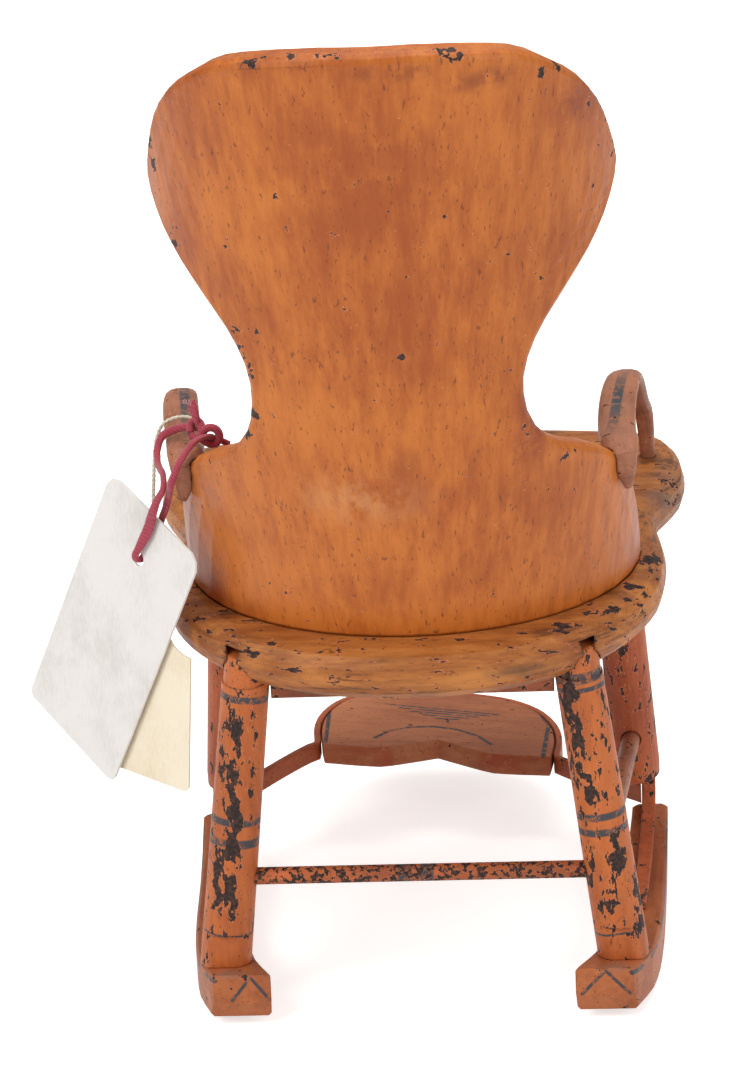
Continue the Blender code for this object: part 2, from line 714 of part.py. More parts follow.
def arm_path(side):
    """Middle line of an arm, from its point outside the back to its foot in the seat.

    Both arms are drawn as the right one, and the left one is turned over afterwards.
    """
    tip = back_side_point(side, math.radians(67), 33 * MM)
    rest = back_side_point(side, math.radians(66), 45 * MM)
    foot = seat_point(72.4 * MM, 72 * MM)
    splay = ARM_SPLAY[side]
    crest = seat_point(64.6 * MM, 22 * MM).z + ARM_RISE - ARM_THICKNESS / 2 - ARM_DROP[side]
    return [
        tip + Vector((2.2, -0.8, 0)) * MM, rest + Vector((0.8, 1.2, 1.0)) * MM,
        Vector((61.8 * MM + 0.7 * splay, -13.0 * MM, crest - 5.0 * MM)),
        Vector((62.6 * MM + splay, 2.0 * MM, crest - 0.8 * MM)),
        Vector((64.6 * MM + splay, 20.0 * MM, crest)),
        Vector((66.6 * MM + 0.9 * splay, 38.0 * MM, crest - 5.5 * MM)),
        Vector((69.2 * MM + 0.6 * splay, 54.0 * MM, crest - 17.0 * MM)),
        Vector((71.4 * MM + 0.2 * splay, 65.5 * MM, foot.z + 16 * MM)),
        foot,
        foot - SEAT_NORMAL * ARM_TENON,
    ]


# Width and thickness of the arm along it, as shares of ARM_WIDTH and ARM_THICKNESS
ARM_TAPER = [(0.0, 0.20, 0.35), (0.07, 0.78, 0.8), (0.13, 1.0, 1.0), (0.4, 0.95, 0.95),
             (0.6, 0.78, 0.9), (0.8, 0.55, 0.85), (0.93, 0.42, 0.85), (1.0, 0.40, 0.84)]


def arm_sections(side, count=26):
    """The arm's stations: middle, direction, sideways, upward, half width and half thickness."""
    path = smooth_curve(arm_path(side), count)
    sections = []
    for i, point in enumerate(path):
        along = (path[min(i + 1, count - 1)] - path[max(i - 1, 0)]).normalized()
        sideways = Vector((1, 0, 0))
        sideways = (sideways - along * sideways.dot(along)).normalized()
        up = sideways.cross(along)
        share = i / (count - 1)
        wide = read_between([(s, w) for s, w, t in ARM_TAPER], share) * ARM_WIDTH / 2
        thick = read_between([(s, t) for s, w, t in ARM_TAPER], share) * ARM_THICKNESS / 2
        sections.append((point, along, sideways, up, wide, thick))
    return sections


def arm_ring(section, grow=0.0, sides=14):
    """A D-shaped ring: round on top and flatter below."""
    point, along, sideways, up, wide, thick = section
    ring = []
    for j in range(sides):
        turn = 2 * math.pi * j / sides
        x = math.copysign(abs(math.cos(turn)) ** 0.8, math.cos(turn))
        y = math.sin(turn) if math.sin(turn) > 0 else 0.8 * math.sin(turn)
        ring.append(point + sideways * x * (wide + grow) + up * y * (thick + grow))
    return ring


def make_arm(name, side, grow=0.0):
    rings = [mirrored(arm_ring(section, grow), side) for section in arm_sections(side)]
    if side < 0:
        rings = [r[::-1] for r in rings]
    return loft(name, [r[::-1] for r in rings], "arm", 45)


# ---------------------------------------------------------------- cleat and footrest

def make_cleat(rear_lines):
    middle = seat_point(0, CLEAT_Y, SEAT_THICKNESS + GAP + CLEAT_DEPTH / 2)
    reach = leg_axis_at(rear_lines[1], middle.z).x - LEG_RADIUS_TOP - 0.5 * MM
    rings = []
    for x in (-reach, reach):
        centre = Vector((x, middle.y, middle.z))
        rings.append(section_ring(centre, SEAT_ALONG, SEAT_NORMAL, CLEAT_WIDTH / 2,
                                  CLEAT_DEPTH / 2, 0.4 * MM, 2))
    return loft("seat_cleat", [r[::-1] for r in rings], "rail", 30)


def rest_roll(x, y):
    """How much the footrest's lean lifts a point: nothing at the legs, all of it at the board."""
    share = (y - FRONT_LEG_FOOT[1]) / (REST_REAR - FRONT_LEG_FOOT[1])
    return -x * math.tan(REST_ROLL) * max(0.0, min(1.0, share))


def rest_bow(x):
    """The double curve of the board's rear edge."""
    share = abs(x) / REST_HALF
    peak = max(0.0, 1 - share / 0.5)
    belly = math.sin(math.pi * min(1.0, max(0.0, share - 0.25) / 0.75))
    return REST_NOTCH * peak ** 1.25 - 1.0 * MM * belly


def rest_place(x, along, depth):
    y = REST_REAR + along + rest_bow(x) * max(0.0, 1 - along / (0.8 * REST_LENGTH)) ** 2
    return Vector((x, y, REST_HEIGHT + REST_THICKNESS / 2 - depth + rest_roll(x, REST_REAR)))


def rest_outline():
    half, length = REST_HALF, REST_LENGTH
    points = [(half, 0), (half * 1.025, 0.14 * length), (half * 1.04, 0.34 * length),
              (half * 1.0, 0.56 * length), (half * 0.87, 0.78 * length),
              (half * 0.64, 0.93 * length), (half * 0.36, 0.99 * length), (half * 0.1, length)]
    return [(p.x, p.y) for p in smooth_curve([(x, y, 0) for x, y in points], 18)]


def make_footrest():
    rim = board_rim(REST_THICKNESS, 0.7 * MM)
    return slab("footrest_board", rest_outline(), 20, rest_place, REST_THICKNESS, rim, "rocker")


def leg_tail_side():
    """Where the inner side of the front legs' tails lies."""
    return rocker_middle(FRONT_LEG_FOOT[1]) - TAIL_WIDTH / 2


def hoop_path():
    """Middle line of the bent strip, from the left leg round the board to the right leg."""
    off = GAP + HOOP_THICKNESS / 2
    outline = rest_outline()
    hug = []
    for i in range(1, len(outline)):
        x, y = outline[i]
        x0, y0 = outline[i - 1]
        away = Vector((y - y0, x0 - x)).normalized()
        hug.append((x + away.x * off, REST_REAR + y + away.y * off))
    end = Vector((leg_tail_side() - HOOP_THICKNESS / 2, FRONT_LEG_FOOT[1] + 0.4 * MM))
    corner = Vector((REST_HALF + off + 0.5 * MM, REST_REAR + 3.5 * MM))
    right = [end, end.lerp(corner, 0.35), end.lerp(corner, 0.7), end.lerp(corner, 0.93), corner]
    right += [Vector(p) for p in hug[1:]]
    left = [Vector((-p.x, p.y)) for p in right]
    flat = left + right[::-1]
    return smooth_curve([(p.x, p.y, REST_HEIGHT + rest_roll(p.x, p.y)) for p in flat], 64)


def make_hoop():
    path = hoop_path()
    up = Vector((0, 0, 1))
    rings = []
    for i, point in enumerate(path):
        along = (path[min(i + 1, len(path) - 1)] - path[max(i - 1, 0)])
        along = Vector((along.x, along.y, 0)).normalized()
        sideways = along.cross(up)
        ring = section_ring(point, sideways, up, HOOP_THICKNESS / 2, HOOP_HEIGHT / 2, 0.35 * MM, 2)
        if i in (0, len(path) - 1):
            stop = Vector((math.copysign(leg_tail_side() - GAP, point.x), 0, 0))
            ring = [plane_hit(p, along, stop, Vector((1, 0, 0))) for p in ring]
        rings.append(ring[::-1])
    return loft("footrest_hoop", rings, "rocker", 35)


# ---------------------------------------------------------------- nails

def make_nail(name, head, inward, length, side, radius=NAIL_RADIUS):
    """A nail with its head proud of the surface, and the cutter for its hole."""
    head = Vector((side * head.x, head.y, head.z))
    inward = Vector((side * inward.x, inward.y, inward.z)).normalized()
    across = inward.orthogonal().normalized()
    up = inward.cross(across)

    def ring(distance, size):
        return [head + inward * distance + size * (across * math.cos(math.pi * j / 5)
                                                   + up * math.sin(math.pi * j / 5))
                for j in range(10)]

    wide = NAIL_HEAD_RADIUS
    rings = [ring(-NAIL_HEAD - GAP, wide * 0.7), ring(-NAIL_HEAD * 0.5 - GAP, wide),
             ring(-GAP, wide), ring(-GAP, radius), ring(length - radius, radius),
             ring(length, radius * 0.3)]
    nail = loft(name, rings, "iron", 30)
    cutter = rod(f"{name} hole", head - inward * 2 * MM, head + inward * (length + GAP),
                 radius + GAP, "iron", 12)
    return nail, cutter


def make_tail_nail(name, side):
    y = TAIL_REAR + 3.2 * MM
    head = rocker_point(y, rocker_depth(y) + GAP + TAIL_THICKNESS)
    slope = rocker_slope(y)
    inward = Vector((0, math.sin(slope), -math.cos(slope)))
    return make_nail(name, head, inward, 8.0 * MM, side)


def make_cleat_nail(name, side):
    head = seat_point(24 * MM, CLEAT_Y, SEAT_THICKNESS + GAP + CLEAT_DEPTH)
    return make_nail(name, head, SEAT_NORMAL, CLEAT_DEPTH + 8 * MM, side)


# ---------------------------------------------------------------- tags, tape and string

TAG_ACROSS = Vector((math.cos(TAG_TURN), math.sin(TAG_TURN), 0))
TAG_FACING = Vector((math.sin(TAG_TURN), -math.cos(TAG_TURN), 0))
TAG_UP = Vector((0, 0, 1)) * math.cos(TAG_LEAN) + TAG_FACING * math.sin(TAG_LEAN)
TAG_OUT = TAG_ACROSS.cross(TAG_UP)


def tag_point(x, z, out):
    """A point beside the large tag's hole: across, up and out of the tags' plane."""
    return CARD_TAG_HOLE + TAG_ACROSS * x + TAG_UP * z + TAG_OUT * out


def make_tag(name, outline, hole, spin, thickness, hole_radius, finish):
    """A card cut to an outline round its hole, with the origin on its hole's axis."""
    across = TAG_ACROSS * math.cos(spin) + TAG_UP * math.sin(spin)
    up = TAG_UP * math.cos(spin) - TAG_ACROSS * math.sin(spin)
    rings = []
    for out in (-thickness / 2, thickness / 2):
        rings.append([across * x + up * z + TAG_OUT * out for x, z in outline])
    tag = loft(name, rings, finish, 30)
    tag.location = hole
    punch = rod(f"{name} punch", hole - TAG_OUT * 2 * thickness, hole + TAG_OUT * 2 * thickness,
                hole_radius, finish, 20)
    boolean(tag, punch, "DIFFERENCE")
    return tag


def card_tag_outline():
    """Counter-clockwise from the lower left, with the corners taken off."""
    half, top = CARD_TAG_WIDTH / 2, CARD_TAG_HOLE_IN
    low, cut = CARD_TAG_HOLE_IN - CARD_TAG_LENGTH, 2.6 * MM
    return [(-half, low + cut), (-half + 0.3 * cut, low + 0.3 * cut), (-half + cut, low),
            (half - cut, low), (half - 0.3 * cut, low + 0.3 * cut), (half, low + cut),
            (half, top - 1.6 * cut), (half - 0.5 * cut, top - 0.6 * cut),
            (half - 1.6 * cut, top), (-half + 1.6 * cut, top),
            (-half + 0.5 * cut, top - 0.6 * cut), (-half, top - 1.6 * cut)]


def small_tag_outline():
    """A tag with a narrow head and hollow shoulders."""
    half, head = SMALL_TAG_WIDTH / 2, SMALL_TAG_WIDTH * 0.24
    top = SMALL_TAG_HOLE_IN
    low, cut = top - SMALL_TAG_LENGTH, 1.8 * MM
    scoop = half - head
    right = [(half - cut, low), (half, low + cut), (half, top - 14.5 * MM - scoop * 0.6)]
    for step in range(1, 5):
        turn = math.pi / 2 * step / 5
        right.append((half - scoop * math.sin(turn),
                      top - 14.5 * MM - scoop * 0.6 * math.cos(turn)))
    right += [(head, top - 9 * MM), (head, top - 0.9 * cut), (head - 0.9 * cut, top)]
    return [*right, *[(-x, z) for x, z in reversed(right)]]


# Routes for the tape and the string
TAPE_ROUTE = [
    Vector((-62.3, -20.0, 183.0)) * MM, Vector((-60.9, -21.3, 178.6)) * MM,
    Vector((-60.6, -19.8, 175.2)) * MM, Vector((-63.6, -16.8, 174.2)) * MM,
    Vector((-67.6, -14.6, 173.0)) * MM, Vector((-71.8, -14.2, 171.0)) * MM,
    Vector((-73.6, -15.8, 167.2)) * MM, Vector((-73.0, -20.5, 163.9)) * MM,
    Vector((-70.9, -28.0, 163.2)) * MM, Vector((-70.6, -32.6, 160.2)) * MM,
    tag_point(9.0 * MM, 18.4 * MM, 1.9 * MM), tag_point(5.6 * MM, 10.3 * MM, 1.8 * MM),
    tag_point(1.6 * MM, 3.6 * MM, 2.0 * MM), tag_point(0.1 * MM, 0.7 * MM, 1.8 * MM),
    tag_point(0.0 * MM, -0.3 * MM, 0.0 * MM), tag_point(0.1 * MM, 0.7 * MM, -1.8 * MM),
    tag_point(1.6 * MM, 3.6 * MM, -2.1 * MM), tag_point(6.6 * MM, 11.5 * MM, -2.0 * MM),
    tag_point(11.0 * MM, 20.0 * MM, -1.3 * MM), Vector((-67.6, -35.6, 163.0)) * MM,
    Vector((-65.2, -34.8, 168.4)) * MM, Vector((-61.6, -29.8, 172.8)) * MM,
    Vector((-58.0, -24.4, 173.4)) * MM, Vector((-55.2, -20.6, 171.4)) * MM,
    Vector((-51.9, -19.6, 169.4)) * MM,
]
STRING_ROUTE = [
    Vector((-60.0, -8.6, 170.4)) * MM, Vector((-61.4, -9.2, 173.6)) * MM,
    Vector((-66.6, -9.8, 175.2)) * MM, Vector((-71.8, -10.4, 173.6)) * MM,
    Vector((-74.2, -11.0, 169.4)) * MM, Vector((-75.0, -13.0, 164.4)) * MM,
    Vector((-75.2, -16.6, 158.6)) * MM, Vector((-75.5, -19.4, 151.8)) * MM,
    Vector((-75.5, -22.2, 144.2)) * MM, tag_point(2.5 * MM, 0.0 * MM, -4.6 * MM),
    tag_point(2.5 * MM, -6.5 * MM, -4.7 * MM), tag_point(2.5 * MM, -10.6 * MM, -3.7 * MM),
    tag_point(2.5 * MM, -12.0 * MM, -2.0 * MM),
]


def make_line(name, route, count, radius, finish):
    """A limp line: a round curve along a smooth route, with closed ends."""
    curve = bpy.data.curves.new(name, "CURVE")
    curve.dimensions = "3D"
    curve.bevel_depth = radius
    curve.bevel_resolution = 2
    curve.use_fill_caps = True
    points = smooth_curve(route, count)
    spline = curve.splines.new("POLY")
    spline.points.add(len(points) - 1)
    for slot, point in zip(spline.points, points):
        slot.co = (*point, 1)
    curve.materials.append(paint(finish, *PAINT[finish]))
    line = bpy.data.objects.new(name, curve)
    bpy.context.collection.objects.link(line)
    return line


def make_tags():
    small_hole = tag_point(*SMALL_TAG_HOLE, -SMALL_TAG_BEHIND)
    make_tag("tag_card", card_tag_outline(), CARD_TAG_HOLE, CARD_TAG_SPIN, CARD_THICKNESS,
             CARD_HOLE_RADIUS, "card")
    make_tag("tag_manila", small_tag_outline(), small_hole, SMALL_TAG_SPIN,
             SMALL_TAG_THICKNESS, SMALL_HOLE_RADIUS, "manila")
    make_line("tag_tape", TAPE_ROUTE, 64, TAPE_RADIUS, "tape")
    make_line("tag_string", STRING_ROUTE, 44, STRING_RADIUS, "string")


# ---------------------------------------------------------------- assembly

def build():
    clear_scene()
    seat = make_seat()
    back = make_back()
    clearance = make_back_cutter()
    boolean(seat, clearance, "DIFFERENCE")

    rear_lines, front_lines, legs = {}, {}, {}
    for side, word in ((-1, "left"), (1, "right")):
        rocker = make_rocker(f"rocker_{word}", side)
        rear, rear_lines[side] = make_rear_leg(f"rear_leg_{word}", side)
        front, front_lines[side] = make_front_leg(f"front_leg_{word}", side)
        legs[f"rear {word}"], legs[f"front {word}"] = rear, front
        for line, leg_name in ((rear_lines[side], "rear"), (front_lines[side], "front")):
            axis = (line[1] - line[0]).normalized()
            socket = tenon_socket(f"{leg_name} {word} seat socket", line[1], axis,
                                  LEG_TENON_RADIUS, LEG_TENON_LENGTH + SOCKET_SLACK)
            boolean(seat, socket, "DIFFERENCE")
        slope = rocker_slope(REAR_LEG_FOOT_Y)
        down = Vector((0, math.sin(slope), -math.cos(slope)))
        foot_socket = tenon_socket(f"{word} foot socket", rear_lines[side][0], down,
                                   FOOT_TENON_RADIUS, FOOT_TENON_LENGTH + 2 * GAP)
        boolean(rocker, foot_socket, "DIFFERENCE")

        rail, sockets = make_stretcher(
            f"side_stretcher_{word}", rear_lines[side], SIDE_STRETCHER_REAR_HEIGHT,
            front_lines[side], SIDE_STRETCHER_FRONT_HEIGHT, SIDE_STRETCHER_RADIUS)
        boolean(rear, sockets, "DIFFERENCE")
        boolean(front, sockets, "DIFFERENCE")

        arm = make_arm(f"arm_{word}", side)
        boolean(arm, clearance, "DIFFERENCE")
        boolean(seat, make_arm(f"arm {word} socket", side, GAP), "DIFFERENCE")

        nail, hole = make_tail_nail(f"rocker_nail_{word}", side)
        boolean(front, hole, "DIFFERENCE")
        boolean(rocker, hole, "DIFFERENCE")

    rail, sockets = make_stretcher(
        "rear_stretcher", rear_lines[-1], REAR_STRETCHER_HEIGHT,
        rear_lines[1], REAR_STRETCHER_HEIGHT, REAR_STRETCHER_RADIUS)
    for word in ("left", "right"):
        boolean(legs[f"rear {word}"], sockets, "DIFFERENCE")

    cleat = make_cleat(rear_lines)
    for side, word in ((-1, "left"), (1, "right")):
        nail, hole = make_cleat_nail(f"cleat_nail_{word}", side)
        boolean(cleat, hole, "DIFFERENCE")
        boolean(seat, hole, "DIFFERENCE")
    make_footrest()
    hoop = make_hoop()
    make_tags()

    # The origin lies on the floor, midway between the back's top and the footrest's front
    rear = min(v.co.y for v in back.data.vertices)
    front = max(v.co.y for v in hoop.data.vertices)
    root = bpy.data.objects.new("chair", None)
    bpy.context.collection.objects.link(root)
    for thing in list(bpy.data.objects):
        if thing is not root:
            thing.parent = root
    root.location.y = -(rear + front) / 2



build()
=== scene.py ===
"""A miniature painted rocking chair with two blank tags on its left arm, in a plain studio."""
import math

import bmesh
import bpy
from mathutils import Matrix, Vector, noise


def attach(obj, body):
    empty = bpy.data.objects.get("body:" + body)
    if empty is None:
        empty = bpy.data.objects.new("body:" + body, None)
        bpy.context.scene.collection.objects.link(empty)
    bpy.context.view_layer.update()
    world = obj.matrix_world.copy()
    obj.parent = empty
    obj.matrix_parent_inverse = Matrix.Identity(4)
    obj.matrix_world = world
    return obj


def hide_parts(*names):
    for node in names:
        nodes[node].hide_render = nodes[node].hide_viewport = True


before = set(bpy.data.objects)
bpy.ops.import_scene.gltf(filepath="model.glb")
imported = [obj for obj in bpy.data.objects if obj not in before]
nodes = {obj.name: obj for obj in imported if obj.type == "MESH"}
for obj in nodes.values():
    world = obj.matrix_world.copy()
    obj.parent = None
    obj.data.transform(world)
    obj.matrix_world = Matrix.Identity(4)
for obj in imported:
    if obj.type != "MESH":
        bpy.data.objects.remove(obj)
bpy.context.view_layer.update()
MM = 0.001
FORWARD = -19.387            # where the zero of the points given below lies on the frame's Y, mm

CAMERA_DISTANCE = 1.0        # metres
LAMP_TARGET = Vector((0, 0, 0.12))
WORLD_LIGHT = 0.42
FLOOR_REACH = (0.15, 1.2)    # the floor's glow grows between these distances, metres
FLOOR_GLOW = (0.62, 1.1)     # from the first level to the second

BAND_EDGE = (0.38, 0.62)     # a painted band fades between these shares of its width
EDGE_LEVELS = (0.80, 0.985)  # how square a face is to its rounded normal: an edge, a flat
CHIP_CONTRAST, CHIP_BIAS = 2.2, 0.6
RIM_LEVELS = (0.655, 0.685)  # the wear at which undercoat starts to show, and shows fully
CHIP_LEVELS = (0.70, 0.72)   # and the same for bare wood
PORE_LEVELS = (0.64, 0.70)
PORE_BROWN, GRAIN_DIRT = "5A2A12", "4A2E1C"
UNDERCOAT, LINE_GREY = "E08A5C", "2B3A42"
BARE_WOOD = ("241A18", "4A3028")

TAPE_STEPS, STRING_STEPS = 260, 300
TAPE_HALF_WIDTH, TAPE_OPENING = 1.2, 0.75        # folded, and what it gains lying open, mm
TAPE_HALF_THICKNESS, TAPE_THINNING = 0.85, 0.35  # folded, and what it loses lying open, mm
TAPE_CREASE = 0.12                               # uneven thickness, mm
STRING_RADIUS, STRING_TWIST = 0.6, 3.0           # mm, and mm to each turn of the plies
THREAD_COUNT, THREAD_RADIUS = 9, 0.16


# ---------------------------------------------------------------- colours and nodes

def colour(code):
    """A linear colour from its sRGB hex value."""
    parts = [int(code[i:i + 2], 16) / 255 for i in (0, 2, 4)]
    return [p / 12.92 if p <= 0.04045 else ((p + 0.055) / 1.055) ** 2.4 for p in parts] + [1.0]


def add(tree, kind, links=None, **settings):
    """Add a node; `links` maps an input to a value or to another node's output."""
    node = tree.nodes.new(kind)
    for key, setting in settings.items():
        setattr(node, key, setting)
    for key, source in (links or {}).items():
        if isinstance(source, bpy.types.NodeSocket):
            tree.links.new(source, node.inputs[key])
        else:
            node.inputs[key].default_value = source
    return node


def new_material(name):
    """A material, its node tree, its shader and the place on the piece that is shaded."""
    material = bpy.data.materials.new(name)
    material.use_nodes = True
    tree = material.node_tree
    shader = tree.nodes["Principled BSDF"]
    place = add(tree, "ShaderNodeTexCoord").outputs["Object"]
    return material, tree, shader, place


def value(tree, operation, *terms, clamp=False):
    """Arithmetic on one, two or three numbers."""
    links = dict(enumerate(terms))
    return add(tree, "ShaderNodeMath", links, operation=operation, use_clamp=clamp).outputs[0]


def blend_colour(tree, share, under, over):
    """The colour under, with this share of the colour over laid on it."""
    node = add(tree, "ShaderNodeMix", {0: share, 6: under, 7: over}, data_type="RGBA")
    return node.outputs[2]


def ramp(tree, number, low, high, start=0.0, end=1.0):
    """Carry a number smoothly from start to end between low and high."""
    node = add(tree, "ShaderNodeMapRange", {0: number, 1: low, 2: high, 3: start, 4: end},
               interpolation_type="SMOOTHSTEP")
    return node.outputs[0]


def speckle(tree, place, stretch, scale, detail=4.0, rough=0.6, seed=0.0):
    """Noise over the piece, `scale` per metre, stretched along the axes."""
    mapping = add(tree, "ShaderNodeMapping", {0: place, 1: (seed, seed * 0.7, seed * 0.3),
                                              3: stretch})
    texture = add(tree, "ShaderNodeTexNoise", {"Vector": mapping.outputs[0], "Scale": scale,
                                               "Detail": detail, "Roughness": rough})
    return texture.outputs["Fac"]


def near(tree, place, centre, size):
    """1 at a point, falling to 0 at the edge of an egg of this size (half sizes, mm)."""
    moved = add(tree, "ShaderNodeVectorMath", {0: place, 1: Vector(centre) * MM},
                operation="SUBTRACT").outputs[0]
    scaled = add(tree, "ShaderNodeVectorMath", {0: moved, 1: [1 / (s * MM) for s in size]},
                 operation="MULTIPLY").outputs[0]
    length = add(tree, "ShaderNodeVectorMath", {0: scaled}, operation="LENGTH").outputs["Value"]
    return ramp(tree, length, 0.0, 1.0, 1.0, 0.0)


def most(tree, numbers):
    """The largest of several numbers."""
    result = numbers[0]
    for number in numbers[1:]:
        result = value(tree, "MAXIMUM", result, number)
    return result


def stroke(tree, place, start, end, width, soft=0.25):
    """A brush stroke from start to end (mm): 1 on it and 0 off it."""
    start, end = Vector(start) * MM, Vector(end) * MM
    along = end - start
    moved = add(tree, "ShaderNodeVectorMath", {0: place, 1: start}, operation="SUBTRACT").outputs[0]
    share = add(tree, "ShaderNodeVectorMath", {0: moved, 1: along / along.length_squared},
                operation="DOT_PRODUCT").outputs["Value"]
    share = value(tree, "ADD", share, 0.0, clamp=True)
    foot = add(tree, "ShaderNodeVectorMath", {0: along, 3: share}, operation="SCALE").outputs[0]
    gap = add(tree, "ShaderNodeVectorMath", {0: moved, 1: foot}, operation="DISTANCE")
    return ramp(tree, gap.outputs["Value"], width * MM * (0.5 - soft / 2),
                width * MM * (0.5 + soft / 2), 1.0, 0.0)


def band(tree, place, normal, at, width):
    """1 between two planes `width` apart (mm), whose middle passes through the point `at`."""
    normal = Vector(normal).normalized()
    moved = add(tree, "ShaderNodeVectorMath", {0: place, 1: Vector(at) * MM}, operation="SUBTRACT")
    height = add(tree, "ShaderNodeVectorMath", {0: moved.outputs[0], 1: normal},
                 operation="DOT_PRODUCT").outputs["Value"]
    return ramp(tree, value(tree, "ABSOLUTE", height), width * MM * BAND_EDGE[0],
                width * MM * BAND_EDGE[1], 1.0, 0.0)


# ---------------------------------------------------------------- camera, lights and floor

def make_camera():
    """Behind the chair, above it and a little to its right, rolled slightly."""
    turn, rise, roll = math.radians(3.9), math.radians(19.0), math.radians(-2.9)
    back = Vector((math.sin(turn) * math.cos(rise), -math.cos(turn) * math.cos(rise),
                   math.sin(rise)))
    right = Vector((math.cos(turn), math.sin(turn), 0))
    up = back.cross(right)
    across = right * math.cos(roll) + up * math.sin(roll)
    upward = up * math.cos(roll) - right * math.sin(roll)
    target = Vector((-12.9, FORWARD, 131.6)) * MM
    camera = bpy.data.objects.new("camera", bpy.data.cameras.new("camera"))
    matrix = Matrix((across, upward, back)).transposed().to_4x4()
    matrix.translation = target + back * CAMERA_DISTANCE
    camera.matrix_world = matrix
    camera.data.sensor_fit = "VERTICAL"
    camera.data.sensor_height = 24.0
    camera.data.lens = 73.56
    camera.data.clip_start = 0.01
    bpy.context.collection.objects.link(camera)
    bpy.context.scene.camera = camera


def make_studio():
    """Three softboxes over a sweep of white paper that fades into a white room."""
    scene = bpy.context.scene
    scene.view_settings.view_transform = "Standard"
    world = bpy.data.worlds.new("studio")
    world.use_nodes = True
    scene.world = world
    tree = world.node_tree
    tree.nodes.clear()
    path = add(tree, "ShaderNodeLightPath").outputs
    seen = value(tree, "MAXIMUM", path["Is Camera Ray"], path["Is Transmission Ray"])
    light = add(tree, "ShaderNodeBackground", {0: colour("FFFDFA"), 1: WORLD_LIGHT}).outputs[0]
    white = add(tree, "ShaderNodeBackground", {0: (1, 1, 1, 1), 1: 1.0}).outputs[0]
    mixed = add(tree, "ShaderNodeMixShader", {0: seen, 1: light, 2: white}).outputs[0]
    add(tree, "ShaderNodeOutputWorld", {0: mixed})

    def lamp(name, place, size, power):
        data = bpy.data.lights.new(name, "AREA")
        data.size = size
        data.energy = power
        thing = bpy.data.objects.new(name, data)
        thing.location = place
        aim = LAMP_TARGET - Vector(place)
        thing.rotation_euler = aim.to_track_quat("-Z", "Y").to_euler()
        bpy.context.collection.objects.link(thing)

    lamp("key softbox", (-0.75, -0.85, 1.05), 0.7, 9.5)
    lamp("fill softbox", (1.0, -0.9, 0.7), 0.8, 5.5)
    lamp("top softbox", (0.05, 0.15, 1.3), 0.9, 8.0)

    mesh = bpy.data.meshes.new("floor")
    bm = bmesh.new()
    bmesh.ops.create_grid(bm, x_segments=1, y_segments=1, size=3.0)
    bm.to_mesh(mesh)
    bm.free()
    floor = bpy.data.objects.new("floor", mesh)
    bpy.context.collection.objects.link(floor)
    material = bpy.data.materials.new("white sweep paper")
    material.use_nodes = True
    tree = material.node_tree
    tree.nodes.clear()
    path = add(tree, "ShaderNodeLightPath").outputs
    seen = value(tree, "MAXIMUM", path["Is Camera Ray"], path["Is Glossy Ray"])
    place = add(tree, "ShaderNodeTexCoord").outputs["Object"]
    reach = add(tree, "ShaderNodeVectorMath", {0: place}, operation="LENGTH").outputs["Value"]
    glow_level = ramp(tree, reach, *FLOOR_REACH, *FLOOR_GLOW)
    paper = add(tree, "ShaderNodeBsdfDiffuse", {0: (0.86, 0.86, 0.86, 1)}).outputs[0]
    glow = add(tree, "ShaderNodeEmission",
               {0: (1, 1, 1, 1), 1: value(tree, "MULTIPLY", seen, glow_level)}).outputs[0]
    add(tree, "ShaderNodeOutputMaterial",
        {0: add(tree, "ShaderNodeAddShader", {0: paper, 1: glow}).outputs[0]})
    mesh.materials.append(material)


make_camera()
make_studio()


# ---------------------------------------------------------------- tape and string

TAG_TURN, TAG_LEAN = math.radians(-42), math.radians(-6)
TAG_HOLE = Vector((-79.9, -26.0, 136.8))
TAG_ACROSS = Vector((math.cos(TAG_TURN), math.sin(TAG_TURN), 0))
TAG_FACING = Vector((math.sin(TAG_TURN), -math.cos(TAG_TURN), 0))
TAG_UP = Vector((0, 0, 1)) * math.cos(TAG_LEAN) + TAG_FACING * math.sin(TAG_LEAN)
TAG_OUT = TAG_ACROSS.cross(TAG_UP)


def tag_point(x, z, out):
    """A point beside the large tag's hole: across, up and out of the tags' plane, mm."""
    return TAG_HOLE + TAG_ACROSS * x + TAG_UP * z + TAG_OUT * out


TAPE_ROUTE = [
    Vector((-62.3, -20.0, 183.0)), Vector((-60.9, -21.3, 178.6)),
    Vector((-60.6, -19.8, 175.2)), Vector((-63.6, -16.8, 174.2)),
    Vector((-67.6, -14.6, 173.0)), Vector((-71.8, -14.2, 171.0)),
    Vector((-73.6, -15.8, 167.2)), Vector((-73.0, -20.5, 163.9)),
    Vector((-70.9, -28.0, 163.2)), Vector((-70.6, -32.6, 160.2)),
    tag_point(9.0, 18.4, 1.9), tag_point(5.6, 10.3, 1.8),
    tag_point(1.6, 3.6, 2.0), tag_point(0.1, 0.7, 1.8),
    tag_point(0.0, -0.3, 0.0), tag_point(0.1, 0.7, -1.8),
    tag_point(1.6, 3.6, -2.1), tag_point(6.6, 11.5, -2.0),
    tag_point(11.0, 20.0, -1.3), Vector((-67.6, -35.6, 163.0)),
    Vector((-65.2, -34.8, 168.4)), Vector((-61.6, -29.8, 172.8)),
    Vector((-58.0, -24.4, 173.4)), Vector((-55.2, -20.6, 171.4)),
    Vector((-51.9, -19.6, 169.4)),
]
STRING_ROUTE = [
    Vector((-60.0, -8.6, 170.4)), Vector((-61.4, -9.2, 173.6)),
    Vector((-66.6, -9.8, 175.2)), Vector((-71.8, -10.4, 173.6)),
    Vector((-74.2, -11.0, 169.4)), Vector((-75.0, -13.0, 164.4)),
    Vector((-75.2, -16.6, 158.6)), Vector((-75.5, -19.4, 151.8)),
    Vector((-75.5, -22.2, 144.2)), tag_point(2.5, 0.0, -4.6),
    tag_point(2.5, -6.5, -4.7), tag_point(2.5, -10.6, -3.7),
    tag_point(2.5, -12.0, -2.0),
]


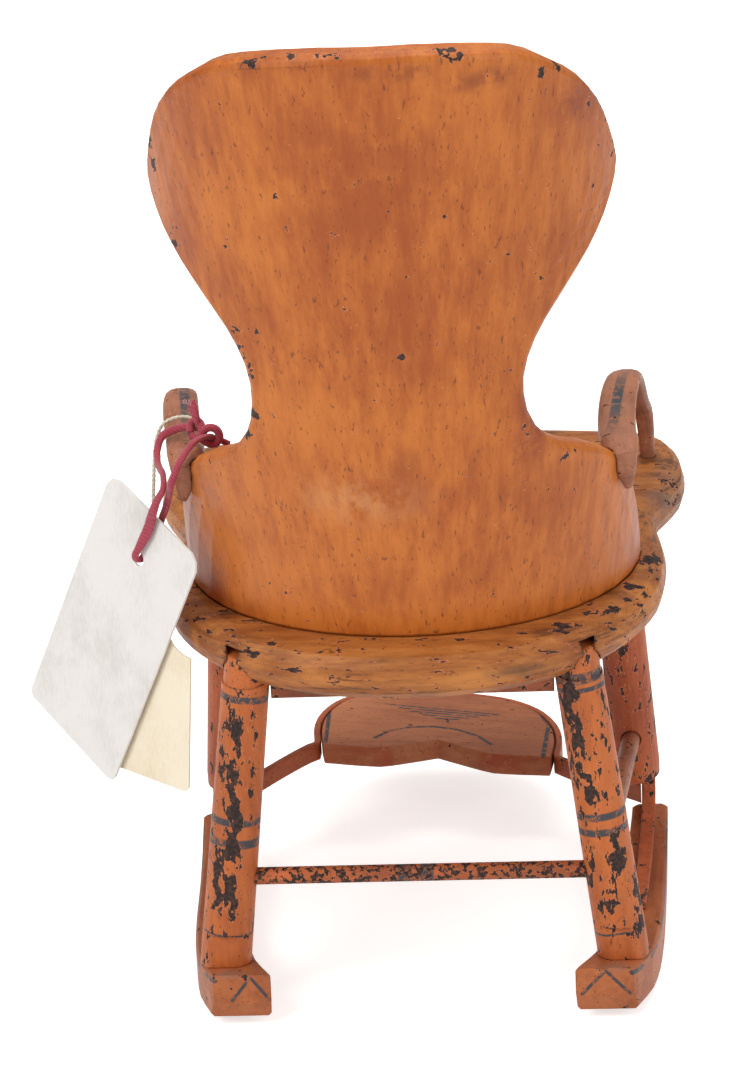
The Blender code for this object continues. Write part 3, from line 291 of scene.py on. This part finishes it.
def smooth_route(points, count):
    """Read evenly spaced points, in metres, from a smooth curve through a route in mm."""
    points = [(p + Vector((0, FORWARD, 0))) * MM for p in points]
    ends = [2 * points[0] - points[1], *points, 2 * points[-1] - points[-2]]
    fine = []
    for a, b, c, d in zip(ends, ends[1:], ends[2:], ends[3:]):
        for step in range(16):
            t = step / 16
            fine.append(0.5 * (2 * b + (c - a) * t + (2 * a - 5 * b + 4 * c - d) * t ** 2
                               + (3 * b - a - 3 * c + d) * t ** 3))
    fine.append(points[-1])
    lengths = [0.0]
    for a, b in zip(fine, fine[1:]):
        lengths.append(lengths[-1] + (b - a).length)
    result, k = [], 0
    for i in range(count):
        goal = lengths[-1] * i / (count - 1)
        while k < len(fine) - 2 and lengths[k + 1] < goal:
            k += 1
        result.append(fine[k].lerp(fine[k + 1], min(1.0, (goal - lengths[k])
                                                    / (lengths[k + 1] - lengths[k]))))
    return result, lengths[-1]


def swept(name, path, ring_at, sides, flat_on=None):
    """A closed tube whose section, ring_at(share, turn) in metres, follows a path.

    Where flat_on is given, the section's width stays square to that direction.
    """
    bm = bmesh.new()
    rings, across = [], None
    for i, point in enumerate(path):
        along = (path[min(i + 1, len(path) - 1)] - path[max(i - 1, 0)]).normalized()
        if across is None:
            across = along.cross(flat_on) if flat_on else along.orthogonal()
        if flat_on:
            wanted = along.cross(flat_on)
            wanted = wanted if wanted.dot(across) > 0 else -wanted
            across = across.lerp(wanted, 0.25 * wanted.length)
        across = (across - along * across.dot(along)).normalized()
        up = along.cross(across)
        ring = []
        for j in range(sides):
            x, y = ring_at(i / (len(path) - 1), 2 * math.pi * j / sides)
            ring.append(bm.verts.new(point + across * x + up * y))
        rings.append(ring)
    for a, b in zip(rings, rings[1:]):
        for j in range(sides):
            k = (j + 1) % sides
            bm.faces.new((a[j], a[k], b[k], b[j]))
    bm.faces.new(rings[0][::-1])
    bm.faces.new(rings[-1])
    mesh = bpy.data.meshes.new(name)
    bm.to_mesh(mesh)
    bm.free()
    mesh.shade_smooth()
    thing = bpy.data.objects.new(name, mesh)
    bpy.context.collection.objects.link(thing)
    return thing


def woven_cotton(name, dark, light, pitch, slope):
    """Cotton: matt, with fine threads that catch the light across the weave."""
    material, tree, shader, place = new_material(name)
    threads = add(tree, "ShaderNodeTexWave", {0: place, "Scale": 1 / (pitch * MM) / 6.3,
                                              "Distortion": 3.0, "Detail": 2.0},
                  wave_type="BANDS", bands_direction=slope).outputs["Fac"]
    fuzz = speckle(tree, place, (1, 1, 1), 900, 5.0, 0.7)
    share = value(tree, "MULTIPLY_ADD", fuzz, 0.7, value(tree, "MULTIPLY", threads, 0.3))
    tree.links.new(blend_colour(tree, share, colour(dark), colour(light)),
                   shader.inputs["Base Color"])
    shader.inputs["Roughness"].default_value = 0.9
    shader.inputs["Sheen Weight"].default_value = 0.25
    bump = add(tree, "ShaderNodeBump", {"Height": share, "Strength": 0.6, "Distance": 0.00025})
    tree.links.new(bump.outputs[0], shader.inputs["Normal"])
    return material


def swelling(share, middle, reach):
    """1 in the middle of a stretch of the tape, 0 outside it."""
    return max(0.0, 1 - ((share - middle) / reach) ** 2)


def make_tape():
    """Narrow woven cotton tape: limp and matt, folded on itself where it is pulled tight."""
    path, length = smooth_route(TAPE_ROUTE, TAPE_STEPS)
    crush = [noise.noise(Vector((i * 0.09, 3.1, 0.0))) for i in range(TAPE_STEPS + 1)]

    def ring_at(share, turn):
        open_flat = max(swelling(share, 0.0, 0.05), swelling(share, 0.44, 0.07))
        crease = crush[int(share * TAPE_STEPS)]
        wide = (TAPE_HALF_WIDTH + TAPE_OPENING * open_flat) * MM
        thick = (TAPE_HALF_THICKNESS - TAPE_THINNING * open_flat + TAPE_CREASE * crease) * MM
        ridge = 1 + 0.05 * math.cos(3 * turn + 9 * crease)
        return wide * math.cos(turn) * ridge, thick * math.sin(turn) * ridge

    tape = swept("cotton_tape", path, ring_at, 20, flat_on=TAG_OUT)
    cotton = woven_cotton("madder red woven cotton tape", "7A1B2C", "BE4A5C", 0.35, "DIAGONAL")
    tape.data.materials.append(cotton)
    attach(tape, "chair")
    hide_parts("tag_tape")

    # The knot: a flat turn round the standing part, a small loop beside it and the frayed tail
    def rod_at(radius):
        return lambda share, turn: (radius * MM * math.cos(turn), radius * MM * math.sin(turn))

    turn_route = [(-62.6, -22.4, 173.2), (-60.9, -23.2, 172.6), (-59.4, -22.6, 174.0),
                  (-59.6, -21.0, 176.2), (-61.2, -19.4, 177.0), (-62.8, -19.6, 175.8),
                  (-62.8, -21.6, 173.8)]
    loop_route = [(-59.8, -22.2, 173.4), (-57.6, -22.6, 175.4), (-55.2, -22.4, 175.0),
                  (-54.2, -22.0, 172.6), (-55.6, -21.8, 170.4), (-57.8, -21.8, 170.6),
                  (-59.4, -21.9, 172.0)]
    for name, route, radius in (("tape_knot_turn", turn_route, 1.15),
                                ("tape_knot_loop", loop_route, 1.2)):
        curve = smooth_route([Vector(p) for p in route], 60)[0]
        piece = swept(name, curve, rod_at(radius), 12)
        piece.data.materials.append(cotton)
        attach(piece, "chair")
    fray = woven_cotton("frayed cotton threads", "B5707A", "E7CBC4", 0.3, "Z")
    for k in range(THREAD_COUNT):
        foot = Vector((-64.3 + 0.5 * k, -20.2 - 0.1 * k, 182.4 - 0.12 * k))
        lean = Vector((0.25 * math.sin(5 * k), -0.3 * math.cos(3 * k),
                       1.1 + 0.4 * math.sin(7 * k)))
        tip = foot + lean
        curve = smooth_route([foot, foot.lerp(tip, 0.5), tip], 6)[0]
        thread = swept(f"frayed_thread_{k}", curve, rod_at(THREAD_RADIUS), 6)
        thread.data.materials.append(fray)
        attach(thread, "chair")


def make_string():
    """Two-ply cotton string, whose plies show as a spiral of light and shade."""
    path, length = smooth_route(STRING_ROUTE, STRING_STEPS)
    turns = length / (STRING_TWIST * MM)

    def ring_at(share, turn):
        ply = abs(math.cos(turn - 2 * math.pi * turns * share))
        radius = STRING_RADIUS * MM * (0.66 + 0.36 * ply)
        return radius * math.cos(turn), radius * math.sin(turn)

    string = swept("two_ply_string", path, ring_at, 14)
    string.data.materials.append(
        woven_cotton("unbleached twisted cotton", "B9AE93", "F1E9D6", 0.3, "Z"))
    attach(string, "chair")
    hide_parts("tag_string")


make_tape()
make_string()


# ---------------------------------------------------------------- painted wood

def painted_wood(name, light, dark, grain, wear=0.0, edge_wear=0.16, spots=(), stains_and_shade=(),
                 lines=None, seed=0.0, chip_stretch=(1, 1, 1), chip_scale=260, gloss=0.5,
                 streak=0.45, grain_lines=0.0):
    """Old oil paint on wood under yellowed varnish, chipped to the dark wood.

    It looks warm and satiny, with brush marks along the grain and a pale rim round each chip.
    grain is the stretch of the brush marks and the wood's grain. wear sets how many chips there
    are everywhere, edge_wear adds chips on edges, and spots, as (place, half sizes, strength),
    add them in places. stains_and_shade are patches of stain in the varnish and of painted shade,
    as (place, half sizes, colour, strength). lines is a function that returns where the
    decorator's grey paint lies.
    """
    material, tree, shader, place = new_material(name)
    shift = add(tree, "ShaderNodeVectorMath", {0: place, 1: (0, -FORWARD * MM, 0)},
                operation="ADD").outputs[0]
    round_edges = add(tree, "ShaderNodeBevel", {"Radius": 0.9 * MM}, samples=6).outputs[0]
    flat = add(tree, "ShaderNodeNewGeometry").outputs["Normal"]
    facing = add(tree, "ShaderNodeVectorMath", {0: round_edges, 1: flat}, operation="DOT_PRODUCT")
    edge = ramp(tree, facing.outputs["Value"], *EDGE_LEVELS, 1.0, 0.0)
    # Colour: broad cloudy tone, then brush marks and grain along the board, then fine dark pores
    cloud = speckle(tree, shift, (1, 1, 1), 22, 3.0, 0.55, seed)
    brush = speckle(tree, shift, grain, 240, 6.0, 0.7, seed + 3)
    tone = ramp(tree, value(tree, "MULTIPLY_ADD", brush, streak,
                            value(tree, "MULTIPLY", cloud, 1 - streak)), 0.36, 0.64)
    base = blend_colour(tree, tone, colour(dark), colour(light))
    pores = speckle(tree, shift, [g ** 0.5 for g in grain], 1100, 2.0, 0.5, seed + 7)
    pore_mask = ramp(tree, pores, *PORE_LEVELS)
    base = blend_colour(tree, value(tree, "MULTIPLY", pore_mask, 0.6), base, colour(PORE_BROWN))
    for at, size, tint, strength in stains_and_shade:
        rag = speckle(tree, shift, (1, 1, 1), 150, 4.0, 0.6, seed + at[0])
        rag = value(tree, "MULTIPLY", near(tree, shift, at, size), ramp(tree, rag, 0.36, 0.55))
        base = blend_colour(tree, value(tree, "MULTIPLY", rag, strength), base, colour(tint))
    if grain_lines:
        fibre = speckle(tree, shift, (0.05, 0.07, 1.0), 900, 5.0, 0.6, seed + 9)
        dirt = ramp(tree, speckle(tree, shift, (0.4, 0.6, 1), 90, 3.0, 0.5, seed + 10), 0.4, 0.6)
        fibre = value(tree, "MULTIPLY", ramp(tree, fibre, 0.50, 0.60), dirt)
        base = blend_colour(tree, value(tree, "MULTIPLY", fibre, grain_lines), base,
                            colour(GRAIN_DIRT))
    # The decorator's lines, worn thin in places
    if lines:
        thin = ramp(tree, speckle(tree, shift, (1, 1, 1), 420, 4.0, 0.6, seed + 5), 0.36, 0.5,
                    0.3, 0.95)
        base = blend_colour(tree, value(tree, "MULTIPLY", lines(tree, shift), thin), base,
                            colour(LINE_GREY))
    # Chips: ragged, with a pale salmon rim of undercoat round the dark wood
    ragged = speckle(tree, shift, chip_stretch, chip_scale, 7.0, 0.62, seed + 11)
    field = value(tree, "MULTIPLY_ADD", ragged, CHIP_CONTRAST, wear - CHIP_BIAS)
    field = value(tree, "MULTIPLY_ADD", edge, edge_wear, field)
    for at, size, strength in spots:
        field = value(tree, "MULTIPLY_ADD", near(tree, shift, at, size), strength, field)
    rim_mask = ramp(tree, field, *RIM_LEVELS)
    chip_mask = ramp(tree, field, *CHIP_LEVELS)
    base = blend_colour(tree, value(tree, "MULTIPLY", rim_mask, 0.7), base, colour(UNDERCOAT))
    inside = ramp(tree, speckle(tree, shift, (1, 1, 1), 800, 3.0, 0.6, seed + 17), 0.4, 0.65)
    wood = blend_colour(tree, inside, colour(BARE_WOOD[0]), colour(BARE_WOOD[1]))
    base = blend_colour(tree, chip_mask, base, wood)
    tree.links.new(base, shader.inputs["Base Color"])
    rough = value(tree, "MULTIPLY_ADD", chip_mask, 0.2, gloss)
    tree.links.new(rough, shader.inputs["Roughness"])
    shader.inputs["Specular IOR Level"].default_value = 0.32
    # Relief: brush marks, pores, and the paint's thickness round each chip
    fine = value(tree, "MULTIPLY_ADD", pores, -0.4, value(tree, "MULTIPLY", brush, 0.5))
    relief = value(tree, "SUBTRACT", fine, value(tree, "MULTIPLY", chip_mask, 1.4))
    bump = add(tree, "ShaderNodeBump", {"Height": relief, "Strength": 0.6, "Distance": 0.00015,
                                        "Normal": round_edges})
    tree.links.new(bump.outputs[0], shader.inputs["Normal"])
    return material


def dress(material, *names):
    """Give the pieces of these names one material."""
    for name in names:
        slots = nodes[name].data.materials
        slots.clear()
        slots.append(material)


def leg_rings(side, heights):
    """Rings round a rear leg, square to it, at these heights in mm."""
    foot, head = Vector((side * 60.0, -49.5, 15.0)), Vector((side * 48.6, -44.5, 105.0))

    def lines(tree, place):
        rings = []
        for height, width in heights:
            middle = foot.lerp(head, (height - foot.z) / (head.z - foot.z))
            rings.append(band(tree, place, head - foot, middle, width))
        return most(tree, rings)

    return lines


def rocker_lines(tree, place):
    """A pinstripe along each rocker's outer top edge and a roof-shaped mark on its rear end."""
    edge = [(61.2, -62.6, 16.0), (67.4, -52.0, 14.2), (70.9, -35.0, 12.4), (73.1, -10.0, 10.7),
            (74.8, 20.0, 10.5), (76.6, 57.0, 19.8)]
    marks = []
    for side, apex, sides in ((-1, 51.2, 5.6), (1, 54.0, 7.0)):
        ends = [(side * x, y, z) for x, y, z in edge]
        marks += [stroke(tree, place, a, b, 1.5) for a, b in zip(ends, ends[1:])]
        top = (side * apex, -61.9, 16.6)
        marks += [stroke(tree, place, top, (side * apex + turn * sides, -62.7, 9.6), 1.3)
                  for turn in (-1, 1)]
    return most(tree, marks)


def footrest_lines(tree, place):
    """An arch, a fan of strokes inside it and a line along each end, brushed on the top."""
    flat = add(tree, "ShaderNodeVectorMath", {0: place, 1: (1, 1, 0)}, operation="MULTIPLY")
    flat = flat.outputs[0]
    marks = [stroke(tree, flat, (-37.2, 82, 0), (-37.6, 112, 0), 1.3),
             stroke(tree, flat, (35.6, 81, 0), (37.4, 108, 0), 1.5),
             stroke(tree, flat, (37.4, 108, 0), (32.0, 127, 0), 1.5)]
    arch = [(-1.5 + 21.3 * math.cos(turn), 79.8 + 21.3 * math.sin(turn), 0)
            for turn in [math.radians(24 + 22 * k) for k in range(7)]]
    marks += [stroke(tree, flat, a, b, 1.4) for a, b in zip(arch, arch[1:])]
    marks += [stroke(tree, flat, (-18 + 4.2 * k, 119 - 2.6 * k, 0),
                     (20 - 3.4 * k, 115 - 1.6 * k, 0), 1.0) for k in range(6)]
    return most(tree, marks)


def arm_lines(tree, place):
    """A worn stripe on the top of each arm."""
    marks = []
    for side, lean, top in ((1, 0.0, (62.3, -2, 175)), (-1, -0.1, (-67.6, 9, 175))):
        stripe = band(tree, place, (side, -0.12, lean), top, 3.0)
        marks.append(value(tree, "MULTIPLY", stripe, near(tree, place, top, (12, 34, 26))))
    return most(tree, marks)


def stretcher_lines(tree, place):
    """Two bands round the middle of the rear stretcher."""
    return most(tree, [band(tree, place, (1, 0, 0), (x, 0, 0), 4.0) for x in (-4.5, 2.0)])


# The back: orange oil paint under amber varnish, satiny, with upright grain and chipped edges, and
# painted shade darkening the middle of its curve
dress(painted_wood(
    "varnished orange oil paint on the bent back", "C8722C", "A04D18", (1.0, 1.0, 0.08),
    wear=-0.2, edge_wear=0.24, seed=1.0, gloss=0.42, streak=0.5,
    spots=[((-32, -88, 295), (9, 12, 4), 0.34), ((-20, -92, 296.5), (9, 12, 3), 0.36),
           ((-11, -93, 297), (7, 12, 3), 0.34), ((19.4, -92, 295.5), (7, 12, 4), 0.44),
           ((32, -87, 293), (6, 12, 3), 0.36), ((45, -79, 288), (11, 12, 4), 0.36),
           ((58, -62, 278), (8, 14, 8), 0.4), ((-64, -54, 262), (2.5, 14, 26), 0.42),
           ((-57, -71, 283), (9, 12, 5), 0.36), ((-59, -56, 240), (4, 12, 16), 0.26),
           ((-43, -63, 212), (3.6, 12, 12), 0.4), ((-40, -63, 203), (3.4, 12, 6.5), 0.56),
           ((-40.5, -59, 191), (3.6, 12, 5), 0.54), ((-43, -56, 183.5), (4, 12, 5.5), 0.54),
           ((-47.5, -52, 176), (5, 12, 3), 0.4), ((36, -60, 184), (3.6, 12, 14), 0.3),
           ((50, -46, 172), (12, 12, 3), 0.46), ((60, -38, 170), (8, 12, 2.6), 0.4),
           ((63, -52, 262), (3, 14, 22), 0.26),
           ((1.9, -85, 253.3), (1.6, 6, 1.4), 0.5), ((2.6, -74, 209.6), (2.4, 6, 1.8), 0.5),
           ((22.1, -69, 200.8), (2.4, 6, 1.6), 0.55), ((-30, -80, 255), (1.2, 6, 1.2), 0.45)],
    stains_and_shade=[((4, -95, 292), (17, 12, 4), "7A3418", 0.7),
            ((28, -88, 288), (18, 12, 5), "7A3418", 0.7),
            ((52, -69, 278), (15, 14, 9), "84371A", 0.7),
            ((38, -58, 188), (7, 16, 20), "7B2E14", 0.85),
            ((36, -56, 178), (9, 14, 8), "8A3314", 0.8),
            ((2, -72, 176), (9, 12, 9), "7E3A1B", 0.55),
            # painted shade: the middle of the curved back made darker, where it turns away from the
            # side lamps
            ((0, -88, 262), (36, 14, 36), "9A4818", 0.6),
            ((-12, -62, 165), (30, 14, 12), "D79A66", 0.4),
            ((-58, -40, 160), (10, 14, 12), "A06A55", 0.5)]),
      "back_board")
# The seat: ochre oil paint rubbed thin, so the plank's open grain shows dark through it
dress(painted_wood(
    "rubbed ochre oil paint on the seat", "C07A3C", "8E4E22", (0.10, 0.6, 1.0), wear=-0.06,
    edge_wear=0.14, seed=2.0, chip_stretch=(0.4, 0.7, 1.4), chip_scale=420, streak=0.7,
    grain_lines=0.75,
    spots=[((72, -4, 123.5), (7, 15, 5), 0.42), ((66.5, -24, 122), (8, 10, 3.5), 0.42),
           ((57, -37, 121), (9, 7, 2.6), 0.36), ((46, -48, 119.5), (8, 6, 2), 0.34),
           ((66, -30, 117), (6, 8, 3), 0.32), ((60, -38, 116), (6, 8, 3), 0.24),
           ((-20, -63, 111.5), (8, 8, 2.5), 0.26), ((-33, -58, 113.5), (7, 8, 2.5), 0.26),
           ((-46, -51, 116), (7, 8, 3), 0.24), ((-64, -33, 120), (7, 10, 3), 0.26),
           ((78, 50, 128), (9, 22, 7), 0.2)],
    stains_and_shade=[((78, 45, 127), (14, 34, 10), "5E6262", 0.55),
            ((72, 5, 125), (10, 20, 9), "8A4D33", 0.5),
            ((30, -60, 112), (22, 8, 2.4), "30302A", 0.6)]),
      "seat")
# The rear legs: brittle oil paint on turned wood, flaking in long chips that follow the grain
dress(painted_wood(
    "flaking orange oil paint on the right rear leg", "C66C34", "A25226", (1.0, 1.0, 0.2),
    wear=0.04, seed=3.0, chip_stretch=(1, 1, 0.5), chip_scale=420, lines=leg_rings(1, [
        (104.5, 3.2), (101.0, 1.4), (61.8, 2.2), (57.0, 2.2), (24.6, 0.7)]),
    spots=[((45, -51, 97), (4.5, 8, 14), 0.44), ((48, -53, 82), (3.6, 8, 16), 0.42),
           ((51.5, -54, 70), (3.4, 8, 9), 0.34), ((50, -53, 47), (4, 8, 12), 0.22),
           ((58, -53, 46), (4, 8, 16), 0.36), ((64.5, -51, 34), (3.4, 8, 18), 0.36),
           ((55, -54, 33), (4, 8, 8), 0.26), ((58, -54, 20), (10, 8, 5), -0.3),
           ((52.5, -52, 98), (3.6, 8, 8), -0.2)]),
      "rear_leg_right")
dress(painted_wood(
    "flaking orange oil paint on the left rear leg", "C66C34", "A25226", (1.0, 1.0, 0.2),
    wear=0.0, seed=4.0, chip_stretch=(1, 1, 0.5), chip_scale=420, lines=leg_rings(-1, [
        (100.6, 2.2), (62.5, 2.2), (55.9, 2.8), (26.8, 0.7)]),
    spots=[((-51.8, -52, 94), (3.8, 8, 14), 0.46), ((-53.5, -53, 74), (3.2, 8, 16), 0.44),
           ((-54.5, -54, 56), (4.2, 8, 13), 0.52), ((-56, -54, 40), (3.4, 8, 14), 0.44),
           ((-60, -53, 46), (3.0, 8, 24), 0.38), ((-57.5, -52, 84), (2.6, 8, 20), 0.28),
           ((-50, -53, 45), (4.5, 8, 24), -0.25), ((-56, -54, 21), (10, 8, 5.5), -0.35)]),
      "rear_leg_left")
# The front legs: the same paint, redder and duller out of the light
dress(painted_wood("flaking orange oil paint on the front legs", "BE6236", "984626",
                   (1.0, 1.0, 0.2), wear=0.02, seed=5.0, chip_stretch=(1, 1, 0.45),
                   chip_scale=360), "front_leg_right", "front_leg_left")
# The arms: brown oil paint on bent strips, rubbed thin by hands, with a worn grey stripe
dress(painted_wood("worn brown oil paint on the arms", "AE7254", "84523C", (1.0, 0.2, 1.0),
                   wear=-0.1, seed=6.0, gloss=0.5, lines=arm_lines), "arm_right", "arm_left")
# The rear stretcher: a thin coat on a turned rod, chipped nearly all over
dress(painted_wood("chipped orange oil paint on the rear stretcher", "C8693A", "984E2C",
                   (0.3, 1.0, 1.0), wear=0.19, seed=7.0, chip_scale=620, lines=stretcher_lines),
      "rear_stretcher")
# The side stretchers: the same coat gone brownish, with few chips
dress(painted_wood("worn orange oil paint on the side stretchers", "A96A4E", "7F4A36",
                   (1.0, 0.3, 1.0), wear=-0.02, seed=8.0), "side_stretcher_left",
      "side_stretcher_right")
# The rockers: sawn boards in orange oil paint with a grey pinstripe, dirty at their rear tops
dress(painted_wood("worn orange oil paint on the rockers", "B4683C", "8F4A27", (1.0, 0.2, 1.0),
                   wear=-0.1, seed=9.0, lines=rocker_lines,
                   stains_and_shade=[((-58, -59, 18), (9, 6, 3), "6E6A66", 0.6),
                           ((58, -59, 18), (9, 6, 3), "6E6A66", 0.6)]),
      "rocker_left", "rocker_right")
# The footrest: orange oil paint rubbed smooth, with grey brushwork, and painted shade making its
# rear edge redder and darker
dress(painted_wood("worn orange oil paint on the footrest", "BE7850", "A05C3A", (0.2, 1.0, 1.0),
                   wear=-0.14, edge_wear=0.06, seed=10.0, lines=footrest_lines,
                   # painted shade: the rear edge made redder and darker
                   stains_and_shade=[((0, 79.5, 25), (60, 3, 14), "9E3A1C", 0.9)]), "footrest_board")
# Its hoop: a bent strip in brown oil paint, plain and a little darker
dress(painted_wood("worn brown oil paint on the footrest hoop", "B8623A", "96492A",
                   (0.3, 0.3, 1.0), wear=-0.1, seed=11.0), "footrest_hoop")
# The cleat: a rough batten in brown oil paint, made darker as painted shade under the seat
dress(painted_wood("brown oil paint darkened as shade on the cleat", "A85A36", "7A3F28", (0.2, 1.0, 1.0),
                   wear=-0.02, seed=12.0), "seat_cleat")


def rusted_iron():
    """Wrought nail iron gone brown with rust: rough, with orange blooms."""
    material, tree, shader, place = new_material("rusted wrought iron")
    bloom = speckle(tree, place, (1, 1, 1), 2600, 4.0, 0.6)
    tree.links.new(blend_colour(tree, ramp(tree, bloom, 0.4, 0.65), colour("2B211D"),
                                colour("6B3F28")), shader.inputs["Base Color"])
    shader.inputs["Metallic"].default_value = 0.35
    shader.inputs["Roughness"].default_value = 0.7
    return material


def tag_card(name, light, dark, seed):
    """Calendered card: matt, faintly mottled, a little grey where it has been handled."""
    material, tree, shader, place = new_material(name)
    cloud = speckle(tree, place, (1, 1, 1), 45, 4.0, 0.6, seed)
    fibre = speckle(tree, place, (1, 1, 0.25), 1400, 3.0, 0.6, seed + 2)
    share = ramp(tree, value(tree, "MULTIPLY_ADD", fibre, 0.3,
                             value(tree, "MULTIPLY", cloud, 0.7)), 0.3, 0.6)
    tree.links.new(blend_colour(tree, share, colour(dark), colour(light)),
                   shader.inputs["Base Color"])
    shader.inputs["Roughness"].default_value = 0.75
    bump = add(tree, "ShaderNodeBump", {"Height": fibre, "Strength": 0.15, "Distance": 0.0001})
    tree.links.new(bump.outputs[0], shader.inputs["Normal"])
    return material


dress(rusted_iron(), "rocker_nail_left", "rocker_nail_right", "cleat_nail_left",
      "cleat_nail_right")
dress(tag_card("grey-white calendered card", "EAE6E2", "D6D1CC", 0.0), "tag_card")
dress(tag_card("buff manila card", "F4E8D0", "E6D5B4", 4.0), "tag_manila")
